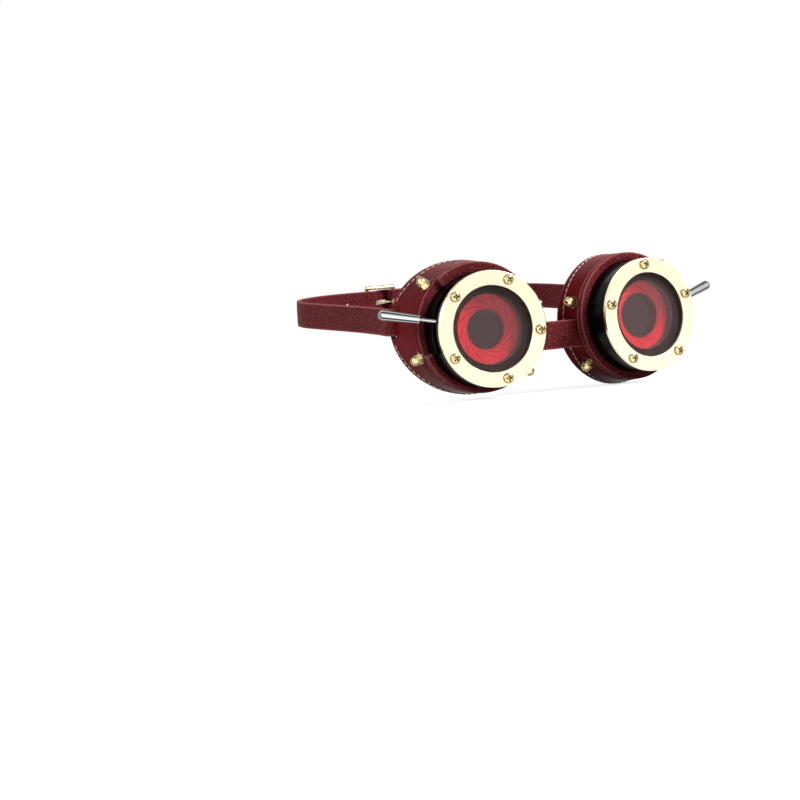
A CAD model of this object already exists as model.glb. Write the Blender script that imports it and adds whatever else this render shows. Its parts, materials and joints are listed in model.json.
"""Steampunk goggles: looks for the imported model.

The row frame is in metres, with +X to the wearer's left, +Y into the head and +Z up. Its origin lies on the rear
face of the bridge. Shapes are drawn in millimetres and degrees, and place() and in_strap_plane() turn them into
the row frame.
"""
import json
import math

import bmesh
import bpy
import numpy as np
from mathutils import Matrix, Vector


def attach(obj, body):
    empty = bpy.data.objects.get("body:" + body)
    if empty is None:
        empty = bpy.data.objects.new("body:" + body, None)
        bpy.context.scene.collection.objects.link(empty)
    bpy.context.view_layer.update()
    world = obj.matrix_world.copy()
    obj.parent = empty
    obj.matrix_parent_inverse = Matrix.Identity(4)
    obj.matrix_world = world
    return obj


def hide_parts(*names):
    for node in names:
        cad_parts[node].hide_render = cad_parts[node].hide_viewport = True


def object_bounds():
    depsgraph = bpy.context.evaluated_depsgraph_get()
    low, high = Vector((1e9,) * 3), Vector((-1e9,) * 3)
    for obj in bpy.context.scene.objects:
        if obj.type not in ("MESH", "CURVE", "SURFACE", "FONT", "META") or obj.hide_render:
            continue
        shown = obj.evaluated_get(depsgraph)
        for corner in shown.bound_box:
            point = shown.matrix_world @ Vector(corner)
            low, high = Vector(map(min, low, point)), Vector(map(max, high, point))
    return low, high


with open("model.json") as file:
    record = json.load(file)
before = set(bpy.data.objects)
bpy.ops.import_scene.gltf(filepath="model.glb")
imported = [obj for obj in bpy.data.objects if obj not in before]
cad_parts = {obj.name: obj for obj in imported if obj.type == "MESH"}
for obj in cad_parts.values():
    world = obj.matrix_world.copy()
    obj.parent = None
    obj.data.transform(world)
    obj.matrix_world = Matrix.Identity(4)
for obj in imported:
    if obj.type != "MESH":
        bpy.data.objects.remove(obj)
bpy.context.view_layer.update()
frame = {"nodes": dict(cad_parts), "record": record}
nodes = frame["nodes"]
scene = bpy.context.scene
MM = 0.001
SIDES = {"right": -1, "left": 1}

# ---------------------------------------------------------------- sizes repeated from the CAD source
# In millimetres and degrees. Depths run back from the bezel's front face.
EYE = 99.6  # between the middles of the two bezels
TOE = 5.2  # each goggle points outwards
ROLL = 12.0  # the cup's turn about its own axis
PITCH = {-1: 2.4, 1: -2.4}  # the cup's tilt, by side
LIFT = {-1: 1.4, 1: 0.1}  # the cup's height over the bezel's middle, by side
CUP_R, WALL = 35.1, 2.5
FLARE, CONE = 3.0, 45.0  # the cup gets this much wider over this depth
FACE_DEPTH, FACE_R, FACE_SHIFT = 37.5, 125.0, 24.0  # the round cut of the face edge
BARREL_R = 30.5
LIP_DEPTH, LIP_REAR = 16.5, 21.0
NOTCH, LEVER_MID, NOTCH_HALF = 3.2, 17.0, 36.6  # where the lip is set back for the lever
BOLT_DEPTH, TEMPLE_HALF, NOSE_HALF = 22.8, 32.0, 28.0  # the bolts' depth and angles on both sides
SCREW_CIRCLE, SCREW_COUNT = 27.4, 5
FIRST_SCREW = {-1: -5.7, 1: 21.1}
STRAP_W, STRAP_T = 14.8, 2.0
STRAP_SLOT, STRAP_Z = 47.6, 7.9  # depth and height of the slot in the cup
RISE = 4.6  # the strap climbs towards the back
SLOT_HALF, SLOT_PLAY, SLOT_CORNER = 3.0, 1.2, 2.4
STRAP_OUT, STRAP_IN, STRAP_END = 0.8, 3.9, 13.0  # the strap's way through its slot
BRIDGE_W, BRIDGE_T = 15.8, 2.2
BRIDGE_Z, BRIDGE_REACH, BRIDGE_DEPTH = -6.6, 31.2, 23.0  # its height, and where its ends lie in the cups
BRIDGE_PLAY, BRIDGE_SIDE_PLAY, BRIDGE_CORNER = 0.5, 0.4, 1.2
HEAD_DEPTH, HEAD_W, CORNER_R = 197.0, 157.0, 62.0  # the inside of the strap's loop
WIRE, BUCKLE_HALF = 2.4, 9.0
HOLE_R = 1.2
TAIL_ANGLE, KEEPER_ANGLE = 38.0, 68.0
BLADE_IN, BLADE_OUT, BLADE_T = 18.6, 25.1, 0.1
BLADE_ARC, BLADE_RISE, BLADE_COUNT = 130.0, 2.8, 12
BLADE_REAR, BLADE_FRONT, BASE_REAR = 12.3, 9.4, 13.45  # depths
PHASE = 12.0  # the first blade's place round the bore
TURN = {-1: 38 / 1.75, 1: 30 / 1.75}  # how far each side's blades are turned in at rest
STUD_R, STUD_INSET = 0.5, 1.1


def rad(a):
    return a * math.pi / 180


# How far the middle of each bezel's front face lies ahead of the row frame's origin
FRONT = (BRIDGE_DEPTH * math.cos(rad(TOE)) - CUP_R * math.cos(rad(ROLL)) * math.sin(rad(TOE))
         + BRIDGE_T / 2)


# ---------------------------------------------------------------- materials
def material(name):
    m = bpy.data.materials.new(name)
    m.use_nodes = True
    return m, m.node_tree, m.node_tree.nodes["Principled BSDF"]


class Net:
    """A short way to write a material's nodes. Textures use object coordinates, in metres."""

    def __init__(self, tree):
        self.t = tree
        self.coords = self.add("ShaderNodeTexCoord").outputs["Object"]

    def add(self, kind, **values):
        n = self.t.nodes.new(kind)
        for k, v in values.items():
            setattr(n, k, v)
        return n

    def put(self, socket, value):
        if isinstance(value, bpy.types.NodeSocket):
            self.t.links.new(value, socket)
        elif isinstance(value, (tuple, list)) and len(value) == 3 and socket.type == "RGBA":
            socket.default_value = (*value, 1)
        else:
            socket.default_value = value

    def noise(self, scale, detail=3.0, rough=0.55):
        n = self.add("ShaderNodeTexNoise")
        self.put(n.inputs["Vector"], self.coords)
        for k, v in (("Scale", scale), ("Detail", detail), ("Roughness", rough)):
            n.inputs[k].default_value = v
        return n

    def voronoi(self, scale, coords, feature="F1", smooth=None):
        n = self.add("ShaderNodeTexVoronoi", feature=feature)
        self.put(n.inputs["Vector"], coords)
        n.inputs["Scale"].default_value = scale
        if smooth is not None:
            n.inputs["Smoothness"].default_value = smooth
        return n.outputs["Distance"]

    def math(self, op, a, b):
        n = self.add("ShaderNodeMath", operation=op)
        self.put(n.inputs[0], a)
        self.put(n.inputs[1], b)
        return n.outputs[0]

    def ramp(self, fac, *stops):
        """A colour ramp: each stop is a position with a colour or a grey level."""
        n = self.add("ShaderNodeValToRGB")
        e = n.color_ramp.elements
        while len(e) < len(stops):
            e.new(0.5)
        for i, (p, c) in enumerate(stops):
            e[i].position = p
            e[i].color = (*c, 1) if isinstance(c, tuple) else (c, c, c, 1)
        self.put(n.inputs["Fac"], fac)
        return n.outputs["Color"]

    def mix(self, fac, a, b, kind="MIX"):
        n = self.add("ShaderNodeMix", data_type="RGBA", blend_type=kind)
        self.put(n.inputs[0], fac)
        self.put(n.inputs[6], a)
        self.put(n.inputs[7], b)
        return n.outputs[2]

    def remap(self, v, a, b, c, d):
        """The value v, stretched from a..b to c..d and kept inside it."""
        n = self.add("ShaderNodeMapRange")
        for s, x in zip(n.inputs, (v, a, b, c, d)):
            self.put(s, x)
        return n.outputs[0]

    def bump(self, height, distance, strength=1.0, normal=None):
        n = self.add("ShaderNodeBump")
        n.inputs["Strength"].default_value = strength
        n.inputs["Distance"].default_value = distance
        self.put(n.inputs["Height"], height)
        if normal is not None:
            self.put(n.inputs["Normal"], normal)
        return n.outputs["Normal"]

    def attribute(self, name):
        return self.add("ShaderNodeAttribute", attribute_name=name).outputs["Fac"]

    def rounded(self, radius):
        """The normal with sharp edges rounded off by that many metres."""
        n = self.add("ShaderNodeBevel", samples=4)
        n.inputs["Radius"].default_value = radius
        return n.outputs[0]

    def warped(self, scale, amount):
        """Coordinates pushed about by a noise, so that cells aren't regular."""
        n = self.noise(scale, 2.0)
        v = self.add("ShaderNodeVectorMath", operation="SUBTRACT")
        self.put(v.inputs[0], n.outputs["Color"])
        v.inputs[1].default_value = (0.5, 0.5, 0.5)
        w = self.add("ShaderNodeVectorMath", operation="MULTIPLY_ADD")
        self.put(w.inputs[0], v.outputs[0])
        w.inputs[1].default_value = (amount, amount, amount)
        self.put(w.inputs[2], self.coords)
        return w.outputs[0]


def smooth_leather():
    """Glossy smooth oxblood leather: faint pores and creases, paler where it is worn at an edge."""
    m, t, b = material("cup_leather")
    n = Net(t)
    cloud = n.noise(55.0, 4.0).outputs["Fac"]
    fine = n.noise(420.0, 3.0).outputs["Fac"]
    base = n.ramp(cloud, (0.3, (0.120, 0.0040, 0.0065)), (0.55, (0.180, 0.0065, 0.0100)),
                  (0.78, (0.235, 0.0105, 0.014)))
    base = n.mix(n.remap(fine, 0.35, 0.75, 0.0, 0.35), base, (0.085, 0.006, 0.008))
    n.put(b.inputs["Base Color"], n.mix(n.attribute("edge"), base, (0.26, 0.045, 0.05)))
    n.put(b.inputs["Roughness"], n.remap(fine, 0.3, 0.75, 0.22, 0.36))
    b.inputs["Specular IOR Level"].default_value = 0.012
    b.inputs["Coat Weight"].default_value = 0.010
    b.inputs["Coat Roughness"].default_value = 0.12
    pores = n.remap(n.voronoi(1500.0, n.warped(900.0, 0.0006)), 0.0, 0.45, 0.0, 1.0)
    creases = n.noise(190.0, 5.0, 0.62).outputs["Fac"]
    n.put(b.inputs["Normal"], n.bump(pores, 0.00003, 0.5, n.bump(creases, 0.00022, 0.5)))
    return m


def grained_leather():
    """Matte oxblood leather with a pebble grain of about 0.8 mm."""
    m, t, b = material("grain_leather")
    n = Net(t)
    warp = n.warped(700.0, 0.0009)
    cell = n.voronoi(1250.0, warp, "SMOOTH_F1", 0.3)
    small = n.voronoi(2600.0, warp)
    cloud = n.noise(38.0, 4.0).outputs["Fac"]
    speck = n.noise(1500.0, 2.0).outputs["Fac"]
    base = n.ramp(cloud, (0.3, (0.190, 0.0180, 0.0220)), (0.6, (0.260, 0.030, 0.035)),
                  (0.8, (0.310, 0.045, 0.050)))
    base = n.mix(n.remap(cell, 0.24, 0.60, 0.0, 0.78), base, (0.042, 0.004, 0.005))
    base = n.mix(n.remap(speck, 0.57, 0.74, 0.0, 0.62), base, (0.52, 0.170, 0.170))
    n.put(b.inputs["Base Color"], n.mix(n.attribute("edge"), base, (0.48, 0.14, 0.145)))
    n.put(b.inputs["Roughness"], n.remap(cell, 0.1, 0.6, 0.42, 0.66))
    b.inputs["Specular IOR Level"].default_value = 0.05
    hollows = n.math("ADD", n.math("MULTIPLY", cell, 0.8), n.math("MULTIPLY", small, 0.25))
    n.put(b.inputs["Normal"], n.bump(n.math("SUBTRACT", 1.0, hollows), 0.00060))
    return m


def cut_leather():
    """The raw cut edge and flesh side of the leather, a dark burnished maroon."""
    m, t, b = material("leather_edge")
    n = Net(t)
    fibres = n.noise(700.0, 5.0, 0.7).outputs["Fac"]
    n.put(b.inputs["Base Color"], n.ramp(fibres, (0.3, (0.050, 0.008, 0.009)), (0.7, (0.110, 0.022, 0.023))))
    b.inputs["Roughness"].default_value = 0.62
    n.put(b.inputs["Normal"], n.bump(fibres, 0.00012, 0.6))
    return m


def waxed_thread():
    m, t, b = material("waxed_thread")
    n = Net(t)
    twist = n.noise(2600.0, 2.0).outputs["Fac"]
    n.put(b.inputs["Base Color"], n.ramp(twist, (0.3, (0.66, 0.40, 0.37)), (0.65, (0.92, 0.74, 0.69))))
    b.inputs["Roughness"].default_value = 0.45
    n.put(b.inputs["Normal"], n.bump(twist, 0.00008, 0.6))
    return m


def metal(name, colour, dark, rough, scratch, bump, tarnish, hollow=0.0, gloss=None):
    """A metal whose finish varies a little: broad tarnish, fine hairlines and rounded edges.

    hollow darkens corners narrower than that many millimetres. gloss is a ramp, from face on to edge on, for
    polished metal that mirrors a room with dark sides."""
    m, t, b = material(name)
    n = Net(t)
    cloud = n.noise(120.0, 4.0).outputs["Fac"]
    hair = n.noise(2400.0, 2.0, 0.7).outputs["Fac"]
    base = n.mix(n.remap(cloud, 0.45, 0.85, 0.0, tarnish), colour, dark)
    if gloss:
        facing = n.add("ShaderNodeLayerWeight")
        facing.inputs["Blend"].default_value = 0.5
        base = n.mix(1.0, base, n.ramp(facing.outputs["Facing"], *gloss), "MULTIPLY")
    if hollow:
        ao = n.add("ShaderNodeAmbientOcclusion", samples=8, only_local=True)
        ao.inputs["Distance"].default_value = hollow * MM
        grime = tuple(0.22 * v for v in dark)
        base = n.mix(n.remap(ao.outputs["AO"], 0.30, 0.90, 0.80, 0.0), base, grime)
    n.put(b.inputs["Base Color"], base)
    n.put(b.inputs["Roughness"], n.remap(hair, 0.35, 0.7, rough, rough + scratch))
    b.inputs["Metallic"].default_value = 1.0
    n.put(b.inputs["Normal"], n.bump(hair, 0.00002, bump, n.rounded(0.00012)))
    return m


def gloss_black():
    m, t, b = material("black_metal")
    n = Net(t)
    dust = n.noise(900.0, 3.0, 0.7).outputs["Fac"]
    n.put(b.inputs["Base Color"], n.ramp(dust, (0.45, (0.0020, 0.0018, 0.0020)), (0.9, (0.009, 0.008, 0.009))))
    n.put(b.inputs["Roughness"], n.remap(dust, 0.3, 0.8, 0.16, 0.28))
    b.inputs["Specular IOR Level"].default_value = 0.05
    n.put(b.inputs["Normal"], n.rounded(0.00025))
    return m


def satin_black():
    m, t, b = material("dark_metal")
    n = Net(t)
    wear = n.noise(300.0, 4.0, 0.65).outputs["Fac"]
    n.put(b.inputs["Base Color"], n.ramp(wear, (0.4, (0.008, 0.008, 0.009)), (0.85, (0.022, 0.021, 0.022))))
    n.put(b.inputs["Roughness"], n.remap(wear, 0.3, 0.8, 0.38, 0.55))
    b.inputs["Specular IOR Level"].default_value = 0.3
    return m


def red_blade():
    """Red satin enamel on a thin blade, worn dark at its edges."""
    m, t, b = material("blade_red")
    n = Net(t)
    hair = n.noise(1800.0, 2.0, 0.7).outputs["Fac"]
    cloud = n.noise(160.0, 3.0).outputs["Fac"]
    base = n.ramp(cloud, (0.3, (0.80, 0.014, 0.026)), (0.7, (0.90, 0.022, 0.036)))
    n.put(b.inputs["Base Color"], n.mix(n.attribute("edge"), base, (0.16, 0.004, 0.008)))
    n.put(b.inputs["Roughness"], n.remap(hair, 0.35, 0.7, 0.26, 0.36))
    b.inputs["Specular IOR Level"].default_value = 0.06
    return m


def glass(name, scale, low, high, rough, specular, alpha):
    """A pane with a film on it that varies slowly."""
    m, t, b = material(name)
    n = Net(t)
    film = n.noise(scale, 2.0).outputs["Fac"]
    n.put(b.inputs["Base Color"], n.ramp(film, (0.3, low), (0.7, high)))
    b.inputs["Roughness"].default_value = rough
    b.inputs["Specular IOR Level"].default_value = specular
    b.inputs["Alpha"].default_value = alpha
    return m


def rubber():
    m, t, b = material("gasket")
    n = Net(t)
    bloom = n.noise(800.0, 3.0).outputs["Fac"]
    n.put(b.inputs["Base Color"], n.ramp(bloom, (0.4, (0.006, 0.006, 0.006)), (0.8, (0.016, 0.015, 0.015))))
    b.inputs["Roughness"].default_value = 0.7
    return m


BRASS_GLOSS = ((0.0, 1.0), (0.10, 0.90), (0.22, 0.42), (0.55, 0.22), (0.85, 0.60))
CHROME_GLOSS = ((0.0, 1.0), (0.045, 0.80), (0.10, 0.07), (0.25, 0.04), (0.34, 0.60), (0.42, 0.80),
                (0.50, 0.08), (0.72, 0.05), (0.92, 0.30))
M = {
    "cup_leather": smooth_leather(),
    "grain_leather": grained_leather(),
    "black_metal": gloss_black(),
    "dark_metal": satin_black(),
    "pale_brass": metal("pale_brass", (0.905, 0.84, 0.61), (0.86, 0.74, 0.50), rough=0.20, scratch=0.10,
                        bump=0.15, tarnish=0.25),
    "gold_brass": metal("gold_brass", (0.90, 0.72, 0.36), (0.66, 0.45, 0.16), rough=0.09, scratch=0.10,
                        bump=0.1, tarnish=0.7, hollow=1.2, gloss=BRASS_GLOSS),
    "lever_chrome": metal("lever_chrome", (0.86, 0.86, 0.88), (0.70, 0.70, 0.72), rough=0.07, scratch=0.04,
                          bump=0.05, tarnish=0.3, gloss=CHROME_GLOSS),
    "blade_red": red_blade(),
    "lens_glass": glass("lens_glass", 45.0, (0.88, 0.54, 0.55), (0.94, 0.60, 0.61), rough=0.03, specular=0.8,
                        alpha=0.054),
    "dark_glass": glass("dark_glass", 60.0, (0.004, 0.004, 0.004), (0.007, 0.006, 0.006), rough=0.05,
                        specular=0.1, alpha=0.97),
    "gasket": rubber(),
}
EDGE = cut_leather()
THREAD = waxed_thread()

slot_of = {r["node"]: r.get("material_slot") for r in frame["record"]["subparts"]}
for name, obj in nodes.items():
    obj.data.materials.clear()
    obj.data.materials.append(M[slot_of[name]])
    obj.data.set_sharp_from_angle(angle=rad(32))


# ---------------------------------------------------------------- shape helpers
def place(sign, x, y, z):
    """A point of a goggle drawn with its temple towards -X, in the row frame; the left one is mirrored."""
    x = np.asarray(x, float) * (1 if sign < 0 else -1)
    x, y, z = np.broadcast_arrays(x, np.asarray(y, float), np.asarray(z, float))
    a = rad(sign * TOE)
    return np.stack([x * math.cos(a) + z * math.sin(a) + sign * EYE / 2,
                     x * math.sin(a) - z * math.cos(a) - FRONT, y], -1) * MM


def flat_place(sign, x, y, z):
    """The same for what isn't mirrored: x to the wearer's left on both goggles."""
    return place(sign, np.asarray(x, float) * (1 if sign < 0 else -1), y, z)


def closed_mesh(name, verts, faces):
    """A mesh with its faces turned outwards."""
    me = bpy.data.meshes.new(name)
    me.from_pydata([tuple(map(float, v)) for v in verts], [], [tuple(map(int, f)) for f in faces])
    bm = bmesh.new()
    bm.from_mesh(me)
    bmesh.ops.recalc_face_normals(bm, faces=bm.faces)
    bm.to_mesh(me)
    bm.free()
    return me


def cut_away(obj, cuts, mat):
    """Take closed tool meshes out of a piece; the walls of the cuts get the material."""
    tools = []
    for verts, faces in cuts:
        me = closed_mesh(f"{obj.name}_tool", verts, faces)
        me.materials.append(mat)
        tool = bpy.data.objects.new(f"{obj.name}_tool", me)
        scene.collection.objects.link(tool)
        mod = obj.modifiers.new("cut", "BOOLEAN")
        mod.operation, mod.solver, mod.object = "DIFFERENCE", "EXACT", tool
        mod.material_mode = "TRANSFER"
        tools.append(tool)
    dg = bpy.context.evaluated_depsgraph_get()
    done = bpy.data.meshes.new_from_object(obj.evaluated_get(dg))
    obj.modifiers.clear()
    obj.data = done
    done.name = obj.name
    for tool in tools:
        bpy.data.objects.remove(tool)


def piece(name, verts, faces, mats, body="frame", index=None, edge=None, cuts=(), smooth=45):
    """A closed mesh from points in metres. index gives each face its material, and edge each point its wear."""
    me = closed_mesh(name, verts, faces)
    for m in mats:
        me.materials.append(m)
    if index is not None:
        me.polygons.foreach_set("material_index", np.asarray(index, np.int32))
    if edge is not None:
        a = me.attributes.new("edge", "FLOAT", "POINT")
        a.data.foreach_set("value", np.asarray(edge, np.float32))
    obj = bpy.data.objects.new(name, me)
    scene.collection.objects.link(obj)
    if cuts:
        cut_away(obj, cuts, mats[-1])
    obj.data.polygons.foreach_set("use_smooth", [True] * len(obj.data.polygons))
    obj.data.set_sharp_from_angle(angle=rad(smooth))
    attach(obj, body)
    return obj


def rings(count, size, closed=True, start=0):
    """Quads of `count` sections of `size` points each, joined round or in a row."""
    f = []
    for i in range(count if closed else count - 1):
        j = (i + 1) % count
        for k in range(size):
            l = (k + 1) % size
            f.append((start + i * size + k, start + j * size + k, start + j * size + l, start + i * size + l))
    return f


def bar(count, size, start=0):
    """The faces of a row of sections with both ends closed."""
    last = start + (count - 1) * size
    return rings(count, size, closed=False, start=start) + [
        tuple(start + k for k in range(size)), tuple(last + k for k in range(size - 1, -1, -1))]


def prism(outline, low, high, put):
    """A prism on a 2-D outline between two heights, each point placed by put(x, y, h)."""
    n = len(outline)
    v = [put(x, y, h) for h in (low, high) for x, y in outline]
    f = [tuple(range(n)), tuple(range(2 * n - 1, n - 1, -1))]
    return v, f + [(i, (i + 1) % n, n + (i + 1) % n, n + i) for i in range(n)]


def circle(r, count, cx=0.0, cy=0.0):
    return [(cx + r * math.cos(s), cy + r * math.sin(s)) for s in np.arange(count) * 2 * math.pi / count]


def rounded_box(hx, hy, r, steps=6):
    """The outline of a box of those half sizes with rounded corners."""
    p = []
    for cx, cy, a in ((hx - r, hy - r, 0), (r - hx, hy - r, 90), (r - hx, r - hy, 180), (hx - r, r - hy, 270)):
        p += [(cx + r * math.cos(rad(a + 90 * i / steps)), cy + r * math.sin(rad(a + 90 * i / steps)))
              for i in range(steps + 1)]
    return p


def box_distance(u, v, hu, hv, r):
    """Distance outside a rounded box, negative inside."""
    qu, qv = np.abs(u) - hu + r, np.abs(v) - hv + r
    return np.hypot(np.maximum(qu, 0), np.maximum(qv, 0)) + np.minimum(np.maximum(qu, qv), 0) - r


def smoothstep(e0, e1, x):
    t = np.clip((np.asarray(x, float) - e0) / (e1 - e0), 0, 1)
    return t * t * (3 - 2 * t)


def ridge(x, height, width):
    """A rounded ridge at x = 0, or a groove where the height is negative."""
    return height * np.exp(-(x / width) ** 2)


def wobble(x, y, seed, scale=1.0):
    """A smooth uneven height from a few waves, the same each run for the same seed."""
    rng = np.random.default_rng(seed)
    h = 0
    for _ in range(7):
        k = rng.normal(size=2) * scale
        h = h + np.sin(k[0] * x + k[1] * y + rng.uniform(0, 6.28)) / 7
    return h


def turned(x, y, a):
    return x * math.cos(a) - y * math.sin(a), x * math.sin(a) + y * math.cos(a)


# ---------------------------------------------------------------- eye cups
def cup_surface(sign, theta, t, inset=0.0):
    """A point of the cup's cone, at an angle round it and a depth t behind the lip, inset from its outer face."""
    r = CUP_R + FLARE * t / CONE - inset
    y, z = turned(r * np.sin(theta), -t, rad(PITCH[sign]))
    return r * np.cos(theta), y + LIFT[sign], z - LIP_REAR


def cup_edge(sign, theta, inset=0.0):
    """Depth along the cone at which the face edge cuts it, found by halving."""
    lo, hi = np.zeros_like(theta), np.full_like(theta, 60.0)
    for _ in range(40):
        mid = (lo + hi) / 2
        x, y, z = cup_surface(sign, theta, mid, inset)
        across, _ = turned(x, y - LIFT[sign], rad(ROLL))
        keep = z > -(FACE_DEPTH + FACE_R) + np.sqrt(FACE_R ** 2 - (across - FACE_SHIFT) ** 2)
        lo, hi = np.where(keep, mid, lo), np.where(keep, hi, mid)
    return lo


# Distance of the stitching from the face edge, by angle round the cup
STITCH = [(-180, 3.2), (-161, 3.4), (-142, 4.8), (-120, 5.4), (-90, 4.4), (-57, 4.2), (-36, 5.9), (-22, 6.6),
          (0, 6.3), (36, 4.6), (69, 4.0), (90, 4.8), (121, 6.4), (133, 6.4), (145, 4.8), (156, 3.6), (180, 3.2)]


def stitch_offset(theta):
    d = (np.degrees(theta) + 180) % 360 - 180
    a, o = zip(*STITCH)
    return sum(np.interp((d + s + 180) % 360 - 180, a, o) for s in (-8, -4, 0, 4, 8)) / 5


BOLTS = [a - ROLL for a in (180 - TEMPLE_HALF, 180 + TEMPLE_HALF, -NOSE_HALF, NOSE_HALF)]
TEMPLE_R = CUP_R + FLARE * 0.6
TILT = math.degrees(math.asin(STRAP_Z / (CUP_R + FLARE)))
# The rolled face edge: distance inside the outer face, and distance ahead of the cut
EDGE_ROLL = ((0.05, 0.62), (0.18, 0.30), (0.42, 0.09), (0.85, 0.0), (1.65, 0.0), (2.08, 0.09), (2.32, 0.30),
             (2.45, 0.62), (2.5, 1.1))
EDGE_START = 1.1  # the roll starts this far ahead of the cut
# Relief of the cup's outer face: each entry is a height and a width
GROOVE = (-0.30, 0.42)  # under the stitching
SWELLING, SWELLING_AT = (0.16, 0.5), 1.2  # on both sides of the groove
TUCK = (-0.22, 0.8)  # the end under the lip
BULGE, BULGE_R = 0.36, 4.0  # the leather raised to each washer
BOLT_HOLLOW, BOLT_HOLLOW_AT = (-0.20, 1.3), 5.6  # and pulled in round it
SLOT_RIM, SLOT_RIM_AT = (0.34, 0.6), 0.8
SLOT_HOLLOW, SLOT_HOLLOW_AT = (-0.18, 0.6), 2.3
BRIDGE_RIM, BRIDGE_RIM_AT = (0.30, 0.6), 0.7
UNEVEN = 0.16
SLOT_TOOL, BRIDGE_TOOL = (-6, 6), (CUP_R - 9, CUP_R + 5)  # how far the cutting tools reach, in and out


def strap_slot_point(sign, u, v, h):
    """A point of the strap slot's own box: along the depth, across it and outwards."""
    x, y = turned(-h, v, rad(-TILT))
    y, z = turned(y, u, rad(RISE))
    return place(sign, x - TEMPLE_R, y + STRAP_Z, z - STRAP_SLOT)


def cup(side):
    """The conical leather cup, with its face edge rolled, its seam pressed in and its two slots cut."""
    sign = SIDES[side]
    count, rows, inner_rows = 300, 56, 22
    theta = np.arange(count) * 2 * math.pi / count
    face = cup_edge(sign, theta)
    front = CUP_R * np.sin(theta) * math.tan(rad(PITCH[sign]))
    seam = stitch_offset(theta)
    sections, edge = [], []
    for w in np.linspace(0, 1, rows) ** 0.85:
        t = front + (face - EDGE_START - front) * w
        x, y, z = cup_surface(sign, theta, t)
        d = face - t
        # the stitched groove between two swellings, an uneven surface, and the end tucked under the lip
        out = (ridge(d - seam, *GROOVE) + ridge(d - seam - SWELLING_AT, *SWELLING)
               + ridge(d - seam + SWELLING_AT, *SWELLING))
        out += UNEVEN * wobble(theta * 4, t * 0.14, 3 + sign, 1.3) * smoothstep(0.0, 4.0, t)
        out += ridge(np.maximum(t - front, 0), *TUCK)
        for a in BOLTS:
            near = np.hypot(x - CUP_R * math.cos(rad(a)), y - LIFT[sign] - CUP_R * math.sin(rad(a)))
            near = np.hypot(near, z + BOLT_DEPTH)
            out += BULGE * np.exp(-(near / BULGE_R) ** 4) + ridge(near - BOLT_HOLLOW_AT, *BOLT_HOLLOW)
        s = box_distance(z + STRAP_SLOT, (y - STRAP_Z) / math.cos(rad(TILT)), SLOT_HALF, STRAP_W / 2 + SLOT_PLAY,
                         SLOT_CORNER)
        rim = np.where(x < 0, ridge(s - SLOT_RIM_AT, *SLOT_RIM) + ridge(s - SLOT_HOLLOW_AT, *SLOT_HOLLOW), 0)
        s = box_distance(z + BRIDGE_DEPTH, y - BRIDGE_Z, BRIDGE_T / 2 + BRIDGE_PLAY, BRIDGE_W / 2 + BRIDGE_PLAY,
                         BRIDGE_CORNER)
        rim = rim + np.where(x > 0, ridge(s - BRIDGE_RIM_AT, *BRIDGE_RIM), 0)
        out = out + rim * smoothstep(0.0, 1.5, t - front)
        sections.append(place(sign, *cup_surface(sign, theta, t, -out)))
        edge.append(ridge(d - seam, 0.55, 0.55) + 0.6 * smoothstep(2.1, 1.2, d))
    for inset, back in EDGE_ROLL:
        sections.append(place(sign, *cup_surface(sign, theta, cup_edge(sign, theta, inset) - back, inset)))
        edge.append(np.full(count, 0.62 if inset < 1.7 else 0.0))
    face = cup_edge(sign, theta, WALL)
    for w in np.linspace(0.97, 0, inner_rows):
        t = front + (face - EDGE_START - front) * w
        sections.append(place(sign, *cup_surface(sign, theta, t, WALL + 0.05 * w)))
        edge.append(np.zeros(count))
    k = len(sections)
    faces = rings(count, k)
    index = [1 if i % k > rows + 4 else 0 for i in range(len(faces))]  # the flesh side starts on the roll
    cuts = [prism(rounded_box(SLOT_HALF, STRAP_W / 2 + SLOT_PLAY, SLOT_CORNER), *SLOT_TOOL,
                  lambda u, v, h: strap_slot_point(sign, u, v, h)),
            prism(rounded_box(BRIDGE_T / 2 + BRIDGE_PLAY, BRIDGE_W / 2 + BRIDGE_SIDE_PLAY, BRIDGE_CORNER),
                  *BRIDGE_TOOL, lambda u, v, h: place(sign, h, v + BRIDGE_Z, u - BRIDGE_DEPTH))]
    obj = piece(f"{side}_cup_leather", np.stack(sections, 1).reshape(-1, 3), faces, [M["cup_leather"], EDGE],
                index=index, edge=np.stack(edge, 1).reshape(-1), cuts=cuts)
    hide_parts(f"{side}_cup")


def tube(points, radii, sides):
    """Sections of a tube along points; its ends close down with its radii."""
    p = np.asarray(points, float)
    tan = np.gradient(p, axis=0)
    tan /= np.linalg.norm(tan, axis=1)[:, None]
    ref = np.array([0.0, 0.0, 1.0]) if abs(tan[0][2]) < 0.9 else np.array([1.0, 0.0, 0.0])
    v = []
    for q, d, r in zip(p, tan, radii):
        a = np.cross(d, ref)
        a /= np.linalg.norm(a)
        b = np.cross(d, a)
        v += [q + r * (math.cos(s) * a + math.sin(s) * b) for s in np.arange(sides) * 2 * math.pi / sides]
    return v


THREAD_R, STITCH_PITCH, STITCH_GAP, SEAM_CLEAR = 0.31, 3.3, 0.52, 0.4
STITCH_DEEP, STITCH_HEIGHT = 0.40, 0.50  # its ends lie that deep in their holes, and its middle this much higher


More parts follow.
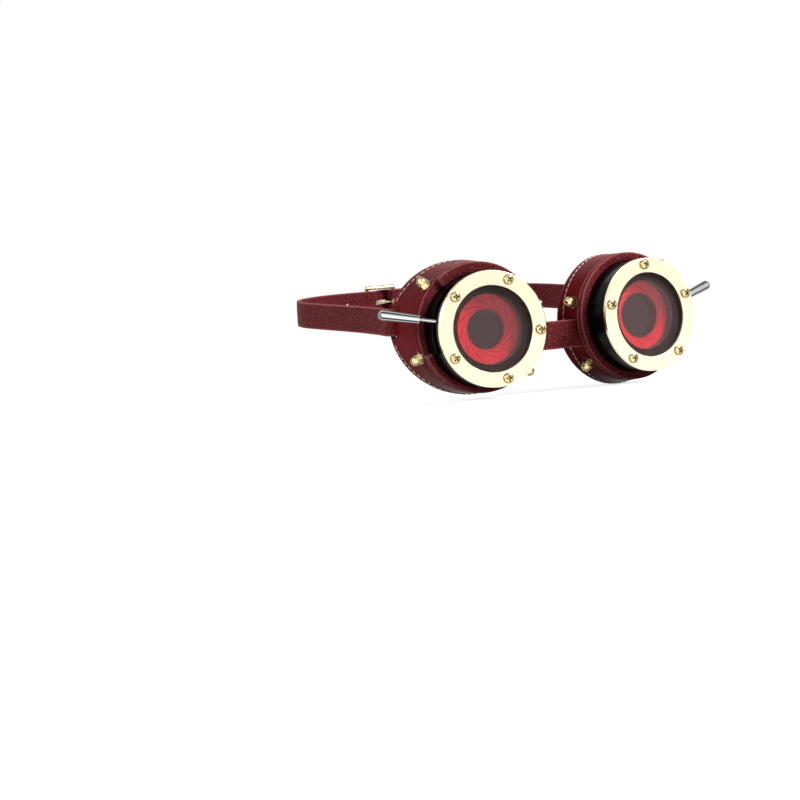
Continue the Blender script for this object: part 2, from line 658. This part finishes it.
def stitches(side):
    """One run of thread along the face edge, each stitch dipping into its two holes."""
    sign = SIDES[side]
    steps, sides = 9, 8
    fine = np.linspace(0, 2 * math.pi, 2881)
    t = cup_edge(sign, fine) - stitch_offset(fine)
    line = place(sign, *cup_surface(sign, fine, t)) / MM
    run = np.concatenate([[0], np.cumsum(np.linalg.norm(np.diff(line, axis=0), axis=1))])
    number = int(run[-1] / STITCH_PITCH)
    pitch = run[-1] / number
    h = np.sin(np.linspace(0, math.pi, steps))
    verts, faces = [], []
    for i in range(number):
        s = np.linspace(i * pitch + STITCH_GAP / 2, (i + 1) * pitch - STITCH_GAP / 2, steps)
        x, y, z = cup_surface(sign, np.interp(s, run, fine), np.interp(s, run, t),
                              STITCH_DEEP - STITCH_HEIGHT * np.minimum(1, h * 1.7))
        slot = box_distance(z + STRAP_SLOT, y - STRAP_Z, SLOT_HALF + SEAM_CLEAR, STRAP_W / 2 + SLOT_PLAY + SEAM_CLEAR,
                            SLOT_CORNER)
        if np.any((x < 0) & (slot < 0)):
            continue  # no stitch crosses the strap's slot
        faces += bar(steps, sides, start=len(verts))
        radii = THREAD_R * np.sqrt(np.clip(h + 0.12, 0, 1))
        verts += [q * MM for q in tube(place(sign, x, y, z) / MM, radii, sides)]
    piece(f"{side}_cup_stitching", verts, faces, [THREAD])


# ---------------------------------------------------------------- lips
# (share of the depth from rear to front, distance ahead of that, distance inside the outer face, wear)
LIP_PROFILE = (
    (0.0, 0.0, 0.75, 0.0), (0.0, 0.12, 0.22, 0.3), (0.0, 0.42, 0.0, 0.65), (0.0, 0.75, 0.10, 0.9),
    (0.0, 1.0, 0.16, 0.5), (0.22, 0.6, 0.02, 0.0), (0.45, 0.2, -0.10, 0.0), (0.62, 0.0, -0.10, 0.0),
    (0.80, -0.3, 0.0, 0.0), (1.0, -0.95, 0.12, 0.5), (1.0, -0.72, 0.08, 0.9), (1.0, -0.42, 0.0, 0.7),
    (1.0, -0.16, 0.14, 0.6), (1.0, -0.03, 0.40, 0.4), (1.0, 0.0, 0.8, 0.1), (1.0, 0.04, 1.4, 0.0),
    (1.0, 0.0, 2.2, 0.0), (1.0, -0.04, 3.0, 0.0))
LIP_FIT = 0.12  # its play on the barrel
LIP_UNEVEN = 0.10


def lip(side):
    """The thick grained ring round the barrel, set back where the lever swings."""
    sign = SIDES[side]
    count = 420
    theta = np.arange(count) * 2 * math.pi / count
    gap = np.abs((theta - (math.pi - rad(LEVER_MID)) + math.pi) % (2 * math.pi) - math.pi)
    front = LIP_DEPTH + NOTCH * (1 - smoothstep(rad(NOTCH_HALF - 0.2), rad(NOTCH_HALF + 1.9), gap))
    # the outer circle is lifted with the cup, the inner one is the barrel's
    up = LIFT[sign]
    out_r = np.sqrt(np.maximum(CUP_R ** 2 - (up * np.cos(theta)) ** 2, 0)) + up * np.sin(theta)
    in_r = BARREL_R + LIP_FIT
    verts, edge = [], []
    for share, ahead, inset, wear in LIP_PROFILE:
        d = front * share + LIP_REAR * (1 - share) - ahead
        r = (out_r - np.minimum(inset, (out_r - in_r) * 0.8)
             + LIP_UNEVEN * wobble(theta * 9, d * 0.5, 11 + sign, 1.2))
        verts.append(place(sign, r * np.cos(theta), r * np.sin(theta), -np.minimum(d, LIP_REAR)))
        edge.append(np.full(count, wear))
    rear = np.full(count, LIP_REAR)
    for d, r in ((front + 0.15, in_r + 0.45), (front + 0.5, in_r), (rear - 0.3, in_r), (rear, in_r + 0.3)):
        verts.append(place(sign, r * np.cos(theta), r * np.sin(theta), -d))
        edge.append(np.zeros(count))
    notch_wear = ridge(gap - rad(NOTCH_HALF + 0.8), 0.75, rad(1.0))
    edge = np.clip(np.stack(edge, 1) + notch_wear[:, None], 0, 1).reshape(-1)
    obj = piece(f"{side}_lip_leather", np.stack(verts, 1).reshape(-1, 3), rings(count, len(verts)),
                [M["grain_leather"]], edge=edge, smooth=60)
    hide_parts(f"{side}_lip")


# ---------------------------------------------------------------- straps
def temple_point(depth, x):
    """A point of the strap's route beside the cup: plan position and tilt."""
    px, py = turned(-x, depth, rad(-TOE))
    return [px - EYE / 2, py - FRONT, TILT]


IN_R = HEAD_W / 2
CORNER_X = IN_R + STRAP_T / 2 - CORNER_R
CORNER_Y = HEAD_DEPTH + STRAP_T / 2 - CORNER_R
BACK_Y = CORNER_Y + CORNER_R  # the strap's middle at the back of the head
LAYER = STRAP_T + 0.1  # from one layer of strap to the next
BAR_Y = BACK_Y + STRAP_T / 2 + 0.05 + WIRE / 2
FOLD_R = WIRE / 2 + 0.1 + STRAP_T / 2  # the left strap's fold round the buckle's bar
OVER_Y = BAR_Y + FOLD_R + STRAP_T + 0.1  # the right strap's way over the buckle
TAIL_R = CORNER_R + 2 * LAYER + 0.7
PIVOT_Y = temple_point(STRAP_SLOT, TEMPLE_R)[1]


def arc(cx, cy, r, a0, a1, steps):
    angles = [rad(a0 + (a1 - a0) * i / steps) for i in range(steps + 1)]
    return [[cx + r * math.cos(a), cy + r * math.sin(a), 0] for a in angles]


def side_route():
    """From inside the right cup, out through its slot and along the head to the back."""
    out_x, in_x = TEMPLE_R + STRAP_T / 2 + STRAP_OUT, TEMPLE_R - WALL - STRAP_T / 2 - STRAP_IN
    s = STRAP_SLOT
    p = [temple_point(s - STRAP_END, in_x - 0.4), temple_point(s - 2.2, in_x), temple_point(s - 0.7, in_x + 1.2),
         temple_point(s + 0.2, out_x - 1.4), temple_point(s + 1.8, out_x)]
    far = -IN_R - STRAP_T / 2
    for d in (12, 24, 36, 48):  # it leaves the cup's side and stands upright by the last point
        q = temple_point(s + d, out_x)
        p.append([far + (q[0] - far) * (1 - d / 60), q[1], TILT * (1 - d / 48)])
    return p + arc(-CORNER_X, CORNER_Y, CORNER_R, 178, 90, 14)


# Each route holds plan positions and tilts. The right strap passes the buckle and ends in the tail; the left one
# folds round the bar and is riveted to itself.
RIGHT_ROUTE = (side_route()
               + [[2 - BUCKLE_HALF, BACK_Y, 0], [4.6 - BUCKLE_HALF, BACK_Y + 0.8, 0], [1.6, OVER_Y - 1.2, 0],
                  [5, OVER_Y, 0], [BUCKLE_HALF + 2, OVER_Y, 0]]
               + arc(CORNER_X, CORNER_Y, TAIL_R, 88, TAIL_ANGLE, 10))
LEFT_ROUTE = [[-x, y, a] for x, y, a in (
    side_route() + arc(-BUCKLE_HALF, BAR_Y, FOLD_R, -90, 90, 8)
    + [[-BUCKLE_HALF - 3, BAR_Y + FOLD_R - 0.4, 0], [-BUCKLE_HALF - 7, BACK_Y + LAYER, 0]]
    + arc(-CORNER_X, CORNER_Y, CORNER_R + LAYER, 91, 102, 3))]


def resample(route, pitch):
    """A smooth line through the route's points, evenly spaced, and the distance run to each point."""
    p = np.asarray(route, float)
    p = np.vstack([2 * p[0] - p[1], p, 2 * p[-1] - p[-2]])
    out = []
    for i in range(1, len(p) - 2):
        a, b, c, d = p[i - 1:i + 3]
        k = [max(math.sqrt(np.linalg.norm(v[:2])), 1e-3) for v in (b - a, c - b, d - c)]
        m1 = ((b - a) / k[0] - (c - a) / (k[0] + k[1]) + (c - b) / k[1]) * k[1]
        m2 = ((c - b) / k[1] - (d - b) / (k[1] + k[2]) + (d - c) / k[2]) * k[1]
        for t in np.linspace(0, 1, 24, endpoint=False):
            out.append((2 * t ** 3 - 3 * t ** 2 + 1) * b + (t ** 3 - 2 * t ** 2 + t) * m1
                       + (3 * t ** 2 - 2 * t ** 3) * c + (t ** 3 - t ** 2) * m2)
    out = np.array(out + [p[-2]])
    run = np.concatenate([[0], np.cumsum(np.linalg.norm(np.diff(out[:, :2], axis=0), axis=1))])
    s = np.linspace(0, run[-1], int(run[-1] / pitch) + 1)
    return np.stack([np.interp(s, run, out[:, i]) for i in range(3)], 1), s


def in_strap_plane(p):
    """A point of the strap's own plane, which climbs towards the back, in the row frame."""
    p = np.asarray(p, float)
    y, z = turned(p[..., 1] - PIVOT_Y, p[..., 2], rad(RISE))
    return np.stack([p[..., 0], y + PIVOT_Y, z + STRAP_Z], -1) * MM


def strip_profile(w, t):
    """Cross-section of a strap: (across, out, wear), with rounded edges and a pressed line along each."""
    h, d = w / 2, t / 2
    top = [(-h + 0.05, d - 0.62, 0.6), (-h + 0.22, d - 0.24, 0.8), (-h + 0.55, d - 0.03, 0.55),
           (-h + 0.95, d - 0.02, 0.2), (-h + 1.3, d - 0.17, 0.0), (-h + 1.7, d - 0.02, 0.0),
           (-h * 0.5, d + 0.05, 0.0), (0.0, d + 0.07, 0.0)]
    half = top + [(-x, o, e) for x, o, e in top[-2::-1]]
    return half + [(-x, -o, e * 0.5) for x, o, e in half]


STRAP_PITCH, STRAP_UNEVEN = 0.9, 0.05
END_ROUND = 0.9  # the last part of each end, where the strap gets thinner and narrower
TAIL_TIP, TAIL_GROWTH, TAIL_POWER = 2.6, 1.25, 0.92  # half width at the tip, and how it widens behind
HOLES = {-1: (84, 75, 66), 1: (60, 51)}  # angles round the right and the left corner
PRONG_HOLE = (-4.6, 6.4, 1.2)  # ends and half width of the long hole in the right strap
FOLD_SLOT = (BUCKLE_HALF - 6, BUCKLE_HALF + 2.4, 1.9)  # and of the one in the left strap's fold
STRAP_TOOL = (-3, 11)  # how far the cutting tools reach, in and out


def strap(name, node, route, seed, cuts, flip=False, tail=False):
    """A strap along its route. flip turns its outer face to the other side, and tail points its end."""
    line, run = resample(route, STRAP_PITCH)
    plan = line[:, :2]
    head = np.gradient(plan, axis=0)
    head /= np.linalg.norm(head, axis=1)[:, None]
    n = np.stack([-head[:, 1], head[:, 0]], 1) * (-1 if flip else 1)
    prof = strip_profile(STRAP_W, STRAP_T)
    verts, edge = [], []
    for i, (p, tilt) in enumerate(zip(plan, line[:, 2])):
        a = rad(tilt)
        across = np.array([-n[i][0] * math.sin(a), -n[i][1] * math.sin(a), math.cos(a)])
        out = np.array([n[i][0] * math.cos(a), n[i][1] * math.cos(a), math.sin(a)])
        d = min(run[i], run[-1] - run[i])
        width = STRAP_W
        if tail:
            left = max(run[-1] - run[i], 0)
            width = 2 * min(STRAP_W / 2, TAIL_TIP + TAIL_GROWTH * left ** TAIL_POWER)
        if d < END_ROUND:
            width -= 1.0 * (1 - d / END_ROUND)
        thick = 1 - 0.35 * (1 - min(d / END_ROUND, 1)) ** 2
        for x, o, e in prof:
            x = x * width / STRAP_W
            lump = STRAP_UNEVEN * wobble(run[i] * 0.35, x * 0.5, 20 + seed)
            q = np.array([p[0], p[1], 0]) + across * x + out * (o * thick + lump * (1 if o > 0 else -1))
            verts.append(in_strap_plane(q))
            edge.append(e)
    obj = piece(name, verts, bar(len(run), len(prof)), [M["grain_leather"], EDGE], edge=edge,
                cuts=cuts, smooth=60)
    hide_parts(node)


def hole_at(sign, angle):
    """A round hole across the strap where it lies on the corner."""
    a = rad(angle if sign > 0 else 180 - angle)

    def put(x, y, h):
        r = CORNER_R + h
        return in_strap_plane([sign * CORNER_X + r * math.cos(a) - x * math.sin(a),
                               CORNER_Y + r * math.sin(a) + x * math.cos(a), y])
    return prism(circle(HOLE_R, 28), *STRAP_TOOL, put)


def long_hole(x0, x1, half):
    """A slot along the strap behind the head, for the buckle's prong."""
    cx, hx = (x0 + x1) / 2, (x1 - x0) / 2
    return prism(rounded_box(hx, half, half * 0.95), *STRAP_TOOL,
                 lambda u, v, h: in_strap_plane([cx + u, BACK_Y + h, v]))


BRIDGE_UNEVEN, BRIDGE_BOW, BRIDGE_NARROW = 0.06, 0.05, 0.012


def bridge():
    """The flat grained band between the cups, bowed a little forwards and narrower in its middle."""
    half = EYE / 2 - BRIDGE_REACH * math.cos(rad(TOE)) - BRIDGE_DEPTH * math.sin(rad(TOE))
    stations = np.linspace(-half, half, 49)
    prof = strip_profile(BRIDGE_W - 0.2, BRIDGE_T - 0.15)
    verts, edge = [], []
    for x in stations:
        mid = 1 - (x / half) ** 2
        for a, o, e in prof:
            lump = BRIDGE_UNEVEN * wobble(x * 0.4, a * 0.4, 41)
            verts.append(np.array([x, -BRIDGE_T / 2 - o - BRIDGE_BOW * mid - lump * (1 if o > 0 else -1) * mid,
                                   BRIDGE_Z + a * (1 - BRIDGE_NARROW * mid)]) * MM)
            edge.append(e * 0.8)
    obj = piece("bridge_leather", verts, bar(len(stations), len(prof)), [M["grain_leather"]],
                edge=edge, smooth=60)
    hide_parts("bridge_strap")


# The keeper's cross-section: along the strap, and outwards from the middle of its wall
KEEPER_SECTION = ((-3.5, 0.3), (-3.32, 0.62), (-2.9, 0.74), (-2.3, 0.60), (-1.8, 0.74), (0, 0.78), (1.8, 0.74),
                  (2.3, 0.60), (2.9, 0.74), (3.32, 0.62), (3.5, 0.3), (3.5, -0.45), (3.3, -0.72), (0, -0.74),
                  (-3.3, -0.72), (-3.5, -0.45))
KEEPER_WALL, KEEPER_PLAY = 1.5, 0.3


def keeper():
    """The sewn loop that holds the strap's tail."""
    inner = STRAP_T / 2 + KEEPER_PLAY
    outer = TAIL_R - CORNER_R + STRAP_T / 2 + KEEPER_PLAY
    hx, hy = (inner + outer) / 2, STRAP_W / 2 + KEEPER_PLAY
    cx = (outer - inner) / 2
    path = np.array(rounded_box(hx + KEEPER_WALL / 2, hy + KEEPER_WALL / 2, 1.3))
    tan = np.roll(path, -1, 0) - np.roll(path, 1, 0)
    tan /= np.linalg.norm(tan, axis=1)[:, None]
    a = rad(KEEPER_ANGLE)
    verts, edge = [], []
    for (px, py), (tx, ty) in zip(path, tan):
        for u, o in KEEPER_SECTION:
            r, z = CORNER_R + cx + px + ty * o, py - tx * o
            verts.append(in_strap_plane([CORNER_X + r * math.cos(a) - u * math.sin(a),
                                         CORNER_Y + r * math.sin(a) + u * math.cos(a), z]))
            edge.append(0.6 if o > 0 and abs(u) > 2.8 else 0.0)
    obj = piece("keeper_leather", verts, rings(len(path), len(KEEPER_SECTION)), [M["grain_leather"]],
                edge=edge, smooth=60)
    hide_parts("strap_keeper")


# ---------------------------------------------------------------- irises
# Across a blade: share of its half width, and wear
BLADE_ACROSS = ((-1, 0.9), (-0.93, 0.9), (-0.84, 0.0), (-0.4, 0.0), (0, 0.0), (0.4, 0.0), (0.84, 0.0), (0.93, 0.9),
                (1, 0.9))


def blade(side, number):
    """A thin sprung arc with rounded ends and a worn edge, and its two studs."""
    sign = SIDES[side]
    mid, half = (BLADE_IN + BLADE_OUT) / 2, (BLADE_OUT - BLADE_IN) / 2
    # along the blade: (angle, half width, height), first round one end, then along the ramp to the other
    end = [(-math.asin(half * math.cos(rad(c)) / mid) * 180 / math.pi, half * math.sin(rad(c)), 0.0)
           for c in (6, 14, 24, 36, 50, 66, 80)]
    stations = end + [(2 + (BLADE_ARC - 4) * i / 60, half, BLADE_RISE * i / 60) for i in range(61)]
    stations += [(BLADE_ARC - a, h, BLADE_RISE) for a, h, _ in reversed(end)]
    base, turn = rad(PHASE + 360 / BLADE_COUNT * (number - 1)), rad(TURN[sign])
    verts, edge = [], []

    def put(x, y, z):
        x, y = turned(x - mid, y, turn)
        x, y = turned(x + mid, y, base)
        return flat_place(sign, x, y, z)

    for a, h, z in stations:
        for top, row in ((1, BLADE_ACROSS), (0, BLADE_ACROSS[::-1])):
            for u, wear in row:
                r = mid + u * h
                verts.append(put(r * math.cos(rad(a)), r * math.sin(rad(a)), z - BLADE_REAR + BLADE_T * top))
                edge.append(wear)
    faces = bar(len(stations), 2 * len(BLADE_ACROSS))
    stud = BLADE_OUT - STUD_INSET
    for cx, cy, low, high in (
            (mid, 0, -BASE_REAR + 0.1, -BLADE_REAR + BLADE_T / 2),
            (stud * math.cos(rad(BLADE_ARC)), stud * math.sin(rad(BLADE_ARC)), -BLADE_FRONT - BLADE_T / 2,
             -BLADE_FRONT + 1.35)):
        v, f = prism(circle(STUD_R, 20, cx, cy), low, high, put)
        faces += [tuple(len(verts) + i for i in q) for q in f]
        verts += v
        edge += [0.5] * len(v)
    name = f"{side}_blade_{number:02d}"
    obj = piece(f"{name}_enamel", verts, faces, [M["blade_red"]], body=name, edge=edge, smooth=50)
    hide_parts(name)


# ---------------------------------------------------------------- bezel screws
SCREW_TOP = 1.9
# From the head's middle outwards and down to the shank's end: (radius, height over the bezel)
SCREW_PROFILE = ((0.25, 1.9), (0.5, 1.89), (0.8, 1.87), (1.1, 1.84), (1.4, 1.79), (1.65, 1.74), (1.85, 1.69),
                 (2.05, 1.62), (2.3, 1.48), (2.52, 1.28), (2.66, 1.05), (2.76, 0.78), (2.8, 0.5), (2.8, 0.14),
                 (2.74, 0.0), (1.5, 0.0), (1.5, -5.0))
DOME_LOW = 1.28  # the recess cuts only the dome above this height
CROSS_DEEP, CROSS_REACH, CROSS_HALF = 1.05, 1.62, 0.40


def cross_screws():
    """Ten pan-head screws: a rolled edge, a low dome and a cross recess with sloping walls."""
    count, n = 96, len(SCREW_PROFILE)
    verts, faces = [], []
    for sign in SIDES.values():
        for i in range(SCREW_COUNT):
            a0 = rad(FIRST_SCREW[sign] + 360 / SCREW_COUNT * i)
            cx, cy = SCREW_CIRCLE * math.cos(a0), SCREW_CIRCLE * math.sin(a0)
            spin = rad(17 + 47 * i + 23 * sign)
            start = len(verts)
            for r, h in SCREW_PROFILE:
                for x, y in circle(r, count):
                    low = 0.0
                    if h > DOME_LOW:
                        arm = min(max(abs(x) - CROSS_REACH, abs(y) - CROSS_HALF),
                                  max(abs(y) - CROSS_REACH, abs(x) - CROSS_HALF))
                        low = CROSS_DEEP * float(smoothstep(0.14, -0.22, arm))
                    u, v = turned(x, y, spin)
                    verts.append(flat_place(sign, cx + u, cy + v, h - low))
            faces += rings(n, count, closed=False, start=start)
            faces.append(tuple(start + (n - 1) * count + k for k in range(count)))
            verts.append(flat_place(sign, cx, cy, SCREW_TOP - CROSS_DEEP))
            faces += [(len(verts) - 1, start + k, start + (k + 1) % count) for k in range(count)]
    obj = piece("bezel_screw_set", verts, faces, [M["gold_brass"]], smooth=40)
    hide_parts("bezel_screws")


for side in SIDES:
    cup(side)
    stitches(side)
    lip(side)
    for number in range(1, BLADE_COUNT + 1):
        blade(side, number)
cross_screws()
strap("strap_right_leather", "strap_right", RIGHT_ROUTE, seed=1, tail=True,
      cuts=[hole_at(sign, a) for sign, angles in HOLES.items() for a in angles] + [long_hole(*PRONG_HOLE)])
strap("strap_left_leather", "strap_left", LEFT_ROUTE, seed=2, flip=True,
      cuts=[long_hole(*FOLD_SLOT)])
bridge()
keeper()

# ---------------------------------------------------------------- camera
# Fitted to the photograph: heading, height and roll in degrees, distance from the bridge in millimetres, pixels
# to a millimetre there, and the pixel that the bridge's middle falls on
HEADING, ELEVATION, CAMERA_ROLL, DISTANCE = 31.87, 0.165, -5.18, 1360.7
PIXELS, ZOOM, AIM_X, AIM_Y = 800, 1.864, 573.86, 321.18
SENSOR = 36.0

psi, elev, roll = rad(HEADING), rad(ELEVATION), rad(CAMERA_ROLL)
back = Vector((-math.sin(psi) * math.cos(elev), -math.cos(psi) * math.cos(elev), math.sin(elev)))
right = (-back).cross(Vector((0, 0, 1))).normalized()
up = right.cross(-back)
image_right = math.cos(roll) * right + math.sin(roll) * up
image_up = -math.sin(roll) * right + math.cos(roll) * up
seat = (back * DISTANCE - Vector((0, FRONT, 0))) * MM
cam_data = bpy.data.cameras.new("camera")
cam = bpy.data.objects.new("camera", cam_data)
scene.collection.objects.link(cam)
cam.matrix_world = Matrix([(image_right[i], image_up[i], back[i], seat[i]) for i in range(3)] + [(0, 0, 0, 1)])
cam_data.sensor_width = SENSOR
cam_data.lens = ZOOM * DISTANCE / PIXELS * SENSOR
cam_data.shift_x = (PIXELS / 2 - AIM_X) / PIXELS
cam_data.shift_y = (AIM_Y - PIXELS / 2) / PIXELS
cam_data.clip_start, cam_data.clip_end = 0.05, 60
scene.camera = cam

# ---------------------------------------------------------------- floor, lamps and world
FLOOR_HALF, FLOOR_GREY = 9, 0.50
NEAR_GLOW, FAR_GLOW = 0.80, 1.0  # the floor's own light at 0.2 m and from 1 m, so that it has no horizon
FILL = 0.17  # the world's light on shapes; seen directly or mirrored it is white

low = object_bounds()[0]
floor_mesh = bpy.data.meshes.new("floor")
floor_mesh.from_pydata([(x * FLOOR_HALF, y * FLOOR_HALF, low.z) for x, y in ((-1, -1), (1, -1), (1, 1), (-1, 1))],
                       [], [(0, 1, 2, 3)])
floor = bpy.data.objects.new("floor", floor_mesh)
scene.collection.objects.link(floor)


def seen_by_eye(net):
    """1 for rays that come from the camera or from gloss and glass, 0 for the rest."""
    path = net.add("ShaderNodeLightPath").outputs
    either = net.math("MAXIMUM", path["Is Camera Ray"], path["Is Glossy Ray"])
    return net.math("MAXIMUM", either, path["Is Transmission Ray"])


floor_material, floor_tree, b = material("floor")
b.inputs["Base Color"].default_value = (FLOOR_GREY, FLOOR_GREY, FLOOR_GREY, 1)
b.inputs["Roughness"].default_value = 0.9
b.inputs["Specular IOR Level"].default_value = 0.0
b.inputs["Emission Color"].default_value = (1, 1, 1, 1)
net = Net(floor_tree)
away = net.add("ShaderNodeVectorMath", operation="LENGTH")
net.put(away.inputs[0], net.coords)
glow = net.remap(away.outputs["Value"], 0.2, 1.0, NEAR_GLOW, FAR_GLOW)
net.put(b.inputs["Emission Strength"], net.math("MULTIPLY", seen_by_eye(net), glow))
floor_mesh.materials.append(floor_material)

world = bpy.data.worlds.new("world")
world.use_nodes = True
net = Net(world.node_tree)
background = world.node_tree.nodes["Background"].inputs
net.put(background["Color"], (1, 1, 1))
net.put(background["Strength"], net.remap(seen_by_eye(net), 0.0, 1.0, FILL, 1.0))
scene.world = world
scene.view_settings.view_transform = "Standard"


def lamp(name, azimuth, elevation, distance, size, watts, target=(0, 0.02, 0)):
    """A soft square lamp, placed by its direction from the target; azimuth 0 is in front, 90 at +X."""
    a, e = rad(azimuth), rad(elevation)
    way = Vector((math.sin(a) * math.cos(e), -math.cos(a) * math.cos(e), math.sin(e)))
    data = bpy.data.lights.new(name, "AREA")
    data.shape, data.size, data.energy = "SQUARE", size, watts
    obj = bpy.data.objects.new(name, data)
    obj.location = Vector(target) + way * distance
    obj.rotation_mode = "QUATERNION"
    obj.rotation_quaternion = way.to_track_quat("Z", "Y")
    scene.collection.objects.link(obj)


lamp("key", azimuth=42, elevation=37, distance=0.9, size=0.30, watts=9.2)
lamp("side", azimuth=-78, elevation=26, distance=0.9, size=0.30, watts=3.0)
lamp("back", azimuth=170, elevation=55, distance=1.0, size=0.6, watts=1.6, target=(0, 0.1, 0))
